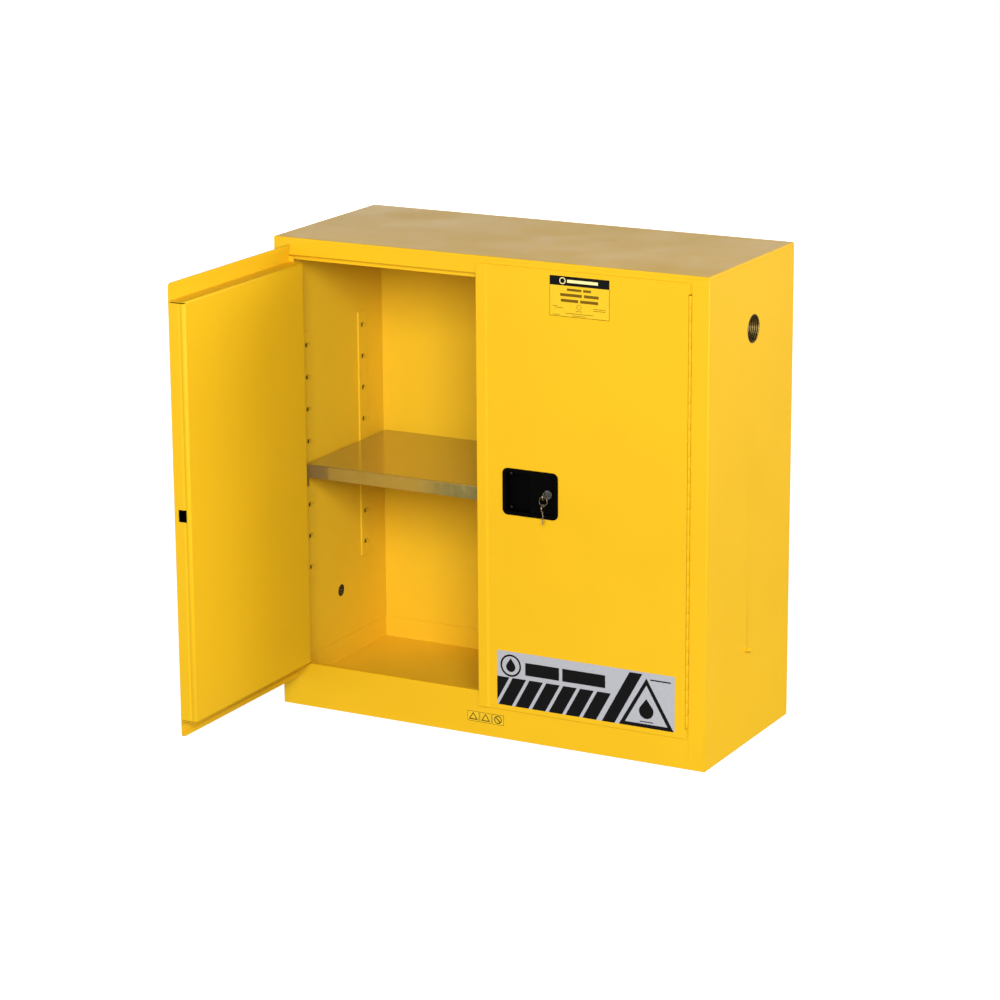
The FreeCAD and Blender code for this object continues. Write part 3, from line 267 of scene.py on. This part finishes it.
def floor_paper(name):
    """Seamless studio paper, lit from under as on a light table."""
    paper = Shader(name, (0.50, 0.50, 0.50), 0.9)
    fibre = paper.noise(380.0, 3.0)
    shade = paper.mix(paper.ramp(fibre, 0.3, 0.7), (0.98, 0.98, 0.98), (1.0, 1.0, 1.0))
    paper.colour(paper.mix(0.5, shade, (0.0, 0.0, 0.0)))
    paper.bump(fibre, 0.05 * MM, 0.1)
    paper.feed(paper.surface.inputs["Emission Color"], shade)
    paper.surface.inputs["Emission Strength"].default_value = 0.88
    paper.surface.inputs["IOR"].default_value = 1.1
    return paper.material


yellow = powder_coat("yellow_enamel", YELLOW)
# The liner's own copy of the enamel, toned for the light inside the box (painted light).
liner_light_set = powder_coat("liner_enamel_light_set", LINER_YELLOW_SET_FOR_LIGHT, 0.38)
zinc_sheet = galvanised("galvanised_sheet")
plated = metal("zinc_plate", STEEL, 0.32, 300.0, (1, 1, 0.1))
blacked = metal("blacked_steel", (0.09, 0.09, 0.10), 0.34, 300.0)
lock_chrome = metal("lock_chrome", (0.72, 0.70, 0.66), 0.16, 500.0)
# A darker copy of the lock chrome for the barrel and plug faces: a painted dim reflection on the
# lock's face.
lock_chrome_dimmed = metal("lock_chrome_dimmed", (0.34, 0.33, 0.31), 0.22, 500.0)
collar = threaded_brass("threaded_collar")
gauze = metal("arrester_brass", (0.36, 0.30, 0.16), 0.45, 200.0)
black = moulded_black("black_moulding")
silver_film = printed_film("silver_film", (0.43, 0.44, 0.475), 0.32, 1.2)
yellow_film = printed_film("yellow_film", (0.80, 0.50, 0.022), 0.32, 1.2)
black_ink = printed_film("black_ink", (0.008, 0.0075, 0.008), 0.42, 1.12)
brown_ink = printed_film("brown_ink", BROWN, 0.38, 1.2)
sign_ink = printed_film("sign_ink", DARK_BROWN, 0.38, 1.2)
header_ink = printed_film("header_print", (0.90, 0.80, 0.36))

by_slot = {
    "yellow_paint": yellow, "bare_steel": plated, "galvanised": zinc_sheet, "vent_brass": collar,
    "black_plastic": black, "chrome_lock": lock_chrome, "label": silver_film,
}
LINER = ("inner_side_left", "inner_side_right", "inner_back", "inner_ceiling", "floor_pan",
         "standard_left_front", "standard_left_rear", "standard_right_front",
         "standard_right_rear")
by_node = {
    **{name: liner_light_set for name in LINER},
    "cup_screws": blacked,
    "lock_barrel": lock_chrome_dimmed, "lock_plug": lock_chrome_dimmed,
    "flame_arrester_left": gauze, "flame_arrester_right": gauze,
    "door_label": yellow_film, "base_label": yellow_film, "band_label": silver_film,
}


# ---------------------------------------------------------------- CAD nodes: finish and soft edges

# Nodes left without soft edges, and edge widths in millimetres that aren't the usual 0.35.
SHARP = {"key_ring", "paddle_spring", "door_label", "band_label", "base_label"}
EDGE = {"left_hinge_door_leaf": 0.2, "left_hinge_frame_leaf": 0.2,
        "right_hinge_door_leaf": 0.2, "right_hinge_frame_leaf": 0.2, "handle_cup": 0.5}

def soften(item, width, degrees, harden=False):
    """Round the edges that are sharper than an angle."""
    soft = item.modifiers.new("soft_edges", "BEVEL")
    soft.width = width
    soft.segments = 2
    soft.limit_method = "ANGLE"
    soft.angle_limit = math.radians(degrees)
    soft.harden_normals = harden


def dress_nodes():
    """Give each CAD node its material and, unless it is listed as sharp, soft edges."""
    for name, item in nodes.items():
        item.data.materials.clear()
        item.data.materials.append(by_node.get(name, by_slot[slot_of[name]]))
        if name in SHARP:
            continue
        weld = item.modifiers.new("weld", "WELD")
        weld.merge_threshold = 0.005 * MM
        soften(item, EDGE.get(name, 0.35) * MM, 38, harden=True)


dress_nodes()


# ---------------------------------------------------------------- pieces made here

def finish_piece(name, mesh, material, body, edge=0.0):
    """Turn a bmesh into an object that rides on a body."""
    data = bpy.data.meshes.new(name)
    bmesh.ops.recalc_face_normals(mesh, faces=mesh.faces)
    mesh.to_mesh(data)
    mesh.free()
    data.materials.append(material)
    piece = bpy.data.objects.new(name, data)
    bpy.context.scene.collection.objects.link(piece)
    if edge:
        soften(piece, edge, 35)
    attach(piece, body)
    return piece


def prism(mesh, outline, to_world, thickness):
    """Extrude a flat outline; to_world maps (u, v, depth) to a place."""
    near = [mesh.verts.new(to_world(u, v, 0.0)) for u, v in outline]
    far = [mesh.verts.new(to_world(u, v, thickness)) for u, v in outline]
    mesh.faces.new(near)
    mesh.faces.new(list(reversed(far)))
    count = len(outline)
    for i in range(count):
        j = (i + 1) % count
        mesh.faces.new((near[j], near[i], far[i], far[j]))


def arc(centre, radius, start, end, steps):
    """Points on an arc, angles in degrees."""
    points = []
    for i in range(steps + 1):
        angle = math.radians(start + (end - start) * i / steps)
        points.append((centre[0] + radius * math.cos(angle), centre[1] + radius * math.sin(angle)))
    return points


def ring_quads(mesh, inner, outer, to_world, thickness):
    """A flat closed band between two outlines with the same number of points."""
    count = len(inner)
    rows = [[mesh.verts.new(to_world(u, v, depth)) for u, v in line]
            for depth in (0.0, thickness) for line in (inner, outer)]
    for i in range(count):
        j = (i + 1) % count
        near_in, near_out, far_in, far_out = rows
        mesh.faces.new((near_in[i], near_in[j], near_out[j], near_out[i]))
        mesh.faces.new((far_in[j], far_in[i], far_out[i], far_out[j]))
        mesh.faces.new((near_out[i], near_out[j], far_out[j], far_out[i]))
        mesh.faces.new((near_in[j], near_in[i], far_in[i], far_in[j]))


class Print:
    """Flat printing on a label: outlines in millimetres from the label's lower left corner."""

    INK = 0.03 * MM
    LAYER = 0.03 * MM

    def __init__(self, label, body):
        low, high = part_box(label)
        self.left, self.bottom, self.face = low.x, low.z, low.y
        self.width, self.height = (high.x - low.x) / MM, (high.z - low.z) / MM
        self.label, self.body = label, body
        self.pieces = {}

    def world(self, u, v, depth):
        return Vector((self.left + u * MM, self.face - depth + 0.01 * MM, self.bottom + v * MM))

    def sheet(self, material):
        """The mesh for one ink; each further ink lies on top of the ones before it."""
        if material.name not in self.pieces:
            self.pieces[material.name] = (material, bmesh.new(), len(self.pieces) * self.LAYER)
        return self.pieces[material.name][1]

    def fill(self, material, outline):
        prism(self.sheet(material), outline, self.world, self.INK)

    def bar(self, material, u0, v0, u1, v1):
        self.fill(material, [(u0, v0), (u1, v0), (u1, v1), (u0, v1)])

    def loop(self, material, inner, outer):
        ring_quads(self.sheet(material), inner, outer, self.world, self.INK)

    def finish(self):
        for name, (material, mesh, lift) in self.pieces.items():
            bmesh.ops.translate(mesh, vec=(0, -lift, 0), verts=mesh.verts)
            finish_piece(f"{self.label}_{name}", mesh, material, self.body)


def clip_low(outline, floor):
    """Cut a convex outline off below v = floor (Sutherland-Hodgman on one side)."""
    kept = []
    for i, (u, v) in enumerate(outline):
        before_u, before_v = outline[i - 1]
        if (v >= floor) != (before_v >= floor):
            share = (floor - before_v) / (v - before_v)
            kept.append((before_u + share * (u - before_u), floor))
        if v >= floor:
            kept.append((u, v))
    return kept


def clip_left(outline, wall):
    swapped = [(v, u) for u, v in outline]
    return [(u, v) for v, u in clip_low(swapped, wall)]


def triangle(centre, low, half, apex):
    return [(centre - half, low), (centre + half, low), (centre, apex)]


def drop(centre, low, width, height):
    """A plain teardrop with its point up."""
    radius = width / 2
    round_part = arc((centre, low + radius), radius, 158, 382, 22)
    return round_part + [(centre, low + height)]


def slanted_bar(left, width, top):
    """A bar that leans to the right as it rises; left is where its top starts."""
    foot = left - 0.55 * top
    return [(left, top), (left + width, top), (foot + width, 0), (foot, 0)]


def band_print():
    """Silver band: slanted bars, one long bar, a framed triangle and blank blocks for words."""
    band = Print("band_label", "right_door")
    short_count, short_top, pitch, short_width = 7, 67.5, 42.8, 34.2
    for k in range(short_count):
        bar = slanted_bar(-2.7 + k * pitch, short_width, short_top)
        band.fill(black_ink, clip_left(bar, 0.0))
    band.fill(black_ink, slanted_bar(334.3, 31.7, 125.0))
    sign = 376.0
    band.loop(black_ink, triangle(sign, 8.8, 52.3, 99.5), triangle(sign, 0.0, 68.0, 116.0))
    band.fill(black_ink, drop(sign, 21.0, 36.0, 47.0))
    badge = (35.0, 96.0)
    band.loop(black_ink, arc(badge, 22.0, 0, 350, 35), arc(badge, 26.5, 0, 350, 35))
    band.fill(black_ink, drop(badge[0], 81.0, 24.0, 33.0))
    under_sign = (360.0, 12.6, 393.0, 15.0)
    words = ((72.0, 78.0, 158.0, 108.0), (166.0, 78.0, 274.0, 108.0))
    small_line = (385.5, 112.0, 436.0, 115.2)
    for box in (under_sign, *words, small_line):
        band.bar(black_ink, *box)
    band.finish()


def door_print():
    """Yellow plate with a black header; plain bars stand where words would be."""
    plate = Print("door_label", "right_door")
    high, wide = plate.height, plate.width
    edge = 0.9
    header_low = high - 20.8
    rim_top = header_low - 0.1
    plate.bar(black_ink, 0.0, header_low, wide, high)
    rim_outer = [(0, 0), (wide, 0), (wide, rim_top), (0, rim_top)]
    rim_inner = [(edge, edge), (wide - edge, edge), (wide - edge, rim_top - 0.01),
                 (edge, rim_top - 0.01)]
    plate.loop(black_ink, rim_inner, rim_outer)
    words = ((42.5, 78.0, 58.0, 63.5), (82.0, 101.5, 58.0, 63.5), (26.0, 79.0, 45.5, 52.0),
             (84.0, 120.0, 45.5, 52.0), (27.5, 70.0, 33.0, 39.5), (75.0, 118.5, 33.0, 39.5))
    for left, right, low, top in words:
        plate.bar(brown_ink, left, low, right, top)
    small_lines = ((7, 19, 22), (14, 32, 19), (107, 137, 22), (106, 136, 18), (64, 80, 13.5),
                   (39, 107, 7.5), (55, 88, 3.0), (7, 24, 3.0))
    for left, right, low in small_lines:
        plate.bar(brown_ink, left, low, right, low + 1.2)
    seal = (72, 23.5)
    plate.loop(brown_ink, arc(seal, 5.0, 0, 345, 23), arc(seal, 6.0, 0, 345, 23))
    middle = high - 10.4
    badge = (31.5, middle)
    plate.loop(header_ink, arc(badge, 5.6, 0, 345, 23), arc(badge, 7.6, 0, 345, 23))
    plate.bar(header_ink, 43.0, middle - 3.4, 118.0, middle + 3.4)
    plate.finish()


def base_print():
    """Three small outline signs without figures, each in its own frame."""
    strip = Print("base_label", "cabinet")
    middle = strip.height / 2
    pitch = strip.width / 3
    margin, line = 0.8, 1.0
    for k in range(3):
        left, right = k * pitch + margin, (k + 1) * pitch - margin
        low, high = margin, strip.height - margin
        outer = [(left, low), (right, low), (right, high), (left, high)]
        inner = [(left + line, low + line), (right - line, low + line),
                 (right - line, high - line), (left + line, high - line)]
        strip.loop(sign_ink, inner, outer)
        centre = (left + right) / 2
        if k < 2:
            strip.loop(sign_ink, triangle(centre, middle - 6.0, 7.4, middle + 6.6),
                       triangle(centre, middle - 8.4, 11.8, middle + 10.0))
        else:
            strip.loop(sign_ink, arc((centre, middle), 7.6, 0, 350, 35),
                       arc((centre, middle), 9.8, 0, 350, 35))
            strip.fill(sign_ink, [(centre - 6.6, middle + 4.6), (centre - 4.6, middle + 6.6),
                                  (centre + 6.6, middle - 4.6), (centre + 4.6, middle - 6.6)])
    strip.finish()


band_print()
door_print()
base_print()


BOW = 9.5
EYE = 5.0
KEY_THICKNESS = 2 * MM


def key_outline(length):
    """Side view of a key in millimetres: bow round the origin, blade along -v."""
    neck_angle = 24.0
    bow = arc((0, 0), BOW, neck_angle - 90, 270 - neck_angle, 40)
    neck, blade, tip = 4.0, 3.6, 1.5
    neck_top, neck_end = -11.0, -13.8
    first, last = -14.5, 3.5 - length
    cuts = (1.2, 2.4, 0.9, 2.9, 1.6, 2.2, 0.7)
    step = (first - last) / len(cuts)
    teeth = []
    for i, depth in enumerate(cuts):
        start = first - i * step
        teeth += [(depth - blade, start - 0.35 * step), (depth - blade, start - 0.65 * step),
                  (-blade, start - step)]
    left = [(-neck, neck_top), (-neck, neck_end), (-blade, first)]
    right = [(-tip, -length), (tip, -length), (blade, last), (blade, first), (neck, neck_end),
             (neck, neck_top)]
    return bow + left + teeth + right


def milled_key(node, body, length, to_world):
    """A flat key with a cut blade in place of the plain one."""
    mesh = bmesh.new()
    prism(mesh, key_outline(length), to_world, KEY_THICKNESS)
    piece = finish_piece(f"{node}_milled", mesh, lock_chrome, body, 0.25 * MM)
    cutter = bmesh.new()
    past_both_faces = KEY_THICKNESS / 2
    prism(cutter, arc((0.0, EYE), 3.0, 0, 345, 23),
          lambda u, v, depth: to_world(u, v, 2 * depth - past_both_faces), KEY_THICKNESS)
    carve(piece, cutter)
    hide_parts(node)


def keys():
    """The key in the lock points along +Y, the spare one hangs down."""
    low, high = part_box("key")
    side = low.x
    centre_y, centre_z = low.y + BOW * MM, (low.z + high.z) / 2
    milled_key("key", "lock_core", (high.y - centre_y) / MM,
               lambda u, v, depth: Vector((side + depth, centre_y - v * MM, centre_z + u * MM)))
    low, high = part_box("spare_key")
    hang_y, hang_z = (low.y + high.y) / 2, high.z - BOW * MM
    milled_key("spare_key", "hanging_key", (hang_z - low.z) / MM,
               lambda u, v, depth: Vector((side + depth, hang_y + u * MM, hang_z + v * MM)))


def carve(piece, cutter_mesh):
    """Cut a shape out of a piece for good, before its edges are softened."""
    data = bpy.data.meshes.new("cutter")
    bmesh.ops.recalc_face_normals(cutter_mesh, faces=cutter_mesh.faces)
    cutter_mesh.to_mesh(data)
    cutter_mesh.free()
    cutter = bpy.data.objects.new("cutter", data)
    bpy.context.scene.collection.objects.link(cutter)
    for modifier in piece.modifiers:
        modifier.show_viewport = False
    step = piece.modifiers.new("carve", "BOOLEAN")
    step.object = cutter
    step.operation = "DIFFERENCE"
    step.solver = "EXACT"
    bpy.context.view_layer.update()
    graph = bpy.context.evaluated_depsgraph_get()
    carved = bpy.data.meshes.new_from_object(piece.evaluated_get(graph))
    piece.modifiers.remove(step)
    for modifier in piece.modifiers:
        modifier.show_viewport = True
    piece.data = carved
    bpy.data.objects.remove(cutter)


def split_ring():
    """Key ring of two close turns of wire."""
    low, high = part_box("key_ring")
    centre = (low + high) / 2
    wire = 0.42 * MM
    radius = (high.x - low.x) / 2 - 0.8 * MM
    steps_per_turn = 64
    turns = 2
    curve = bpy.data.curves.new("split_ring", "CURVE")
    curve.dimensions = "3D"
    line = curve.splines.new("POLY")
    total = steps_per_turn * turns
    line.points.add(total)
    for i in range(total + 1):
        angle = 2 * math.pi * i / steps_per_turn + math.radians(200)
        across = (i / total - 0.5) * 2 * wire
        line.points[i].co = (centre.x + radius * math.cos(angle), centre.y + across,
                             centre.z + radius * math.sin(angle), 1)
    curve.bevel_depth = wire
    curve.bevel_resolution = 3
    curve.use_fill_caps = True
    curve.materials.append(lock_chrome)
    ring = bpy.data.objects.new("split_ring", curve)
    bpy.context.scene.collection.objects.link(ring)
    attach(ring, "ring")
    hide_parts("key_ring")


keys()
split_ring()


# ---------------------------------------------------------------- studio

def plane_floor(size):
    """Pale floor just under the cabinet; size is half its width in metres."""
    mesh = bmesh.new()
    corners = ((-size, -size), (size, -size), (size, size), (-size, size))
    mesh.faces.new([mesh.verts.new((x, y, -0.5 * MM)) for x, y in corners])
    data = bpy.data.meshes.new("studio_floor")
    mesh.to_mesh(data)
    mesh.free()
    data.materials.append(floor_paper("studio_paper"))
    ground = bpy.data.objects.new("studio_floor", data)
    ground.visible_diffuse = False
    ground.visible_glossy = False
    bpy.context.scene.collection.objects.link(ground)


def softbox(name, place, target, size, power, mirrored=True):
    """A rectangular lamp in metres and watts; mirrored says if glossy paint reflects it."""
    lamp = bpy.data.lights.new(name, "AREA")
    lamp.shape = "RECTANGLE"
    lamp.size, lamp.size_y = size
    lamp.energy = power
    item = bpy.data.objects.new(name, lamp)
    item.visible_glossy = mirrored
    bpy.context.scene.collection.objects.link(item)
    item.location = place
    item.rotation_euler = (Vector(target) - Vector(place)).to_track_quat("-Z", "Y").to_euler()


SKY_STRENGTH = 1.4
SKY_STOPS = ((-90, 0.10), (-14, 0.10), (0, 1.0), (12, 1.0), (26, 0.10), (90, 0.03))


def sky():
    """A bright band at the horizon, dim overhead and below; stops are (elevation, brightness)."""
    world = bpy.data.worlds.new("studio_sky")
    world.use_nodes = True
    tree = world.node_tree
    background = tree.nodes["Background"]
    direction = tree.nodes.new("ShaderNodeTexCoord").outputs["Generated"]
    parts = tree.nodes.new("ShaderNodeSeparateXYZ")
    tree.links.new(direction, parts.inputs[0])
    height = tree.nodes.new("ShaderNodeMapRange")
    height.inputs["From Min"].default_value = -1.0
    tree.links.new(parts.outputs["Z"], height.inputs["Value"])
    ramp = tree.nodes.new("ShaderNodeValToRGB")
    stops = ramp.color_ramp.elements
    while len(stops) < len(SKY_STOPS):
        stops.new(0.5)
    for stop, (elevation, grey) in zip(stops, SKY_STOPS):
        stop.position = (math.sin(math.radians(elevation)) + 1) / 2
        stop.color = (grey, grey, grey, 1)
    tree.links.new(height.outputs["Result"], ramp.inputs["Fac"])
    tree.links.new(ramp.outputs["Color"], background.inputs["Color"])
    background.inputs["Strength"].default_value = SKY_STRENGTH
    bpy.context.scene.world = world


def studio():
    sky()
    middle = (0.0, -0.2, 0.6)
    softbox("key", (3.1, -6.0, 3.3), middle, (3.0, 2.6), 494, mirrored=False)
    softbox("side", (6.6, 2.2, 1.8), middle, (3.0, 2.4), 225)
    softbox("back", (-3.5, 7.0, 1.3), middle, (3.0, 2.0), 260, mirrored=False)


def camera():
    """Three-quarter view from the front right, a little above."""
    azimuth, elevation, roll = (math.radians(a) for a in (28.11, 15.06, -0.34))
    place = Vector((3504.8, -6723.1, 2545.7)) * MM
    back = Vector((math.sin(azimuth) * math.cos(elevation),
                   -math.cos(azimuth) * math.cos(elevation), math.sin(elevation)))
    right = Vector((math.cos(azimuth), math.sin(azimuth), 0))
    up = back.cross(right)
    turned_right = right * math.cos(roll) + up * math.sin(roll)
    turned_up = up * math.cos(roll) - right * math.sin(roll)
    data = bpy.data.cameras.new("camera")
    data.sensor_width = 36
    data.lens = 122.3
    data.clip_start, data.clip_end = 0.1, 100
    eye = bpy.data.objects.new("camera", data)
    bpy.context.scene.collection.objects.link(eye)
    axes = Matrix((turned_right, turned_up, back)).transposed().to_4x4()
    eye.matrix_world = Matrix.Translation(place) @ axes
    bpy.context.scene.camera = eye


plane_floor(30)
studio()
camera()
bpy.context.scene.view_settings.view_transform = "Standard"
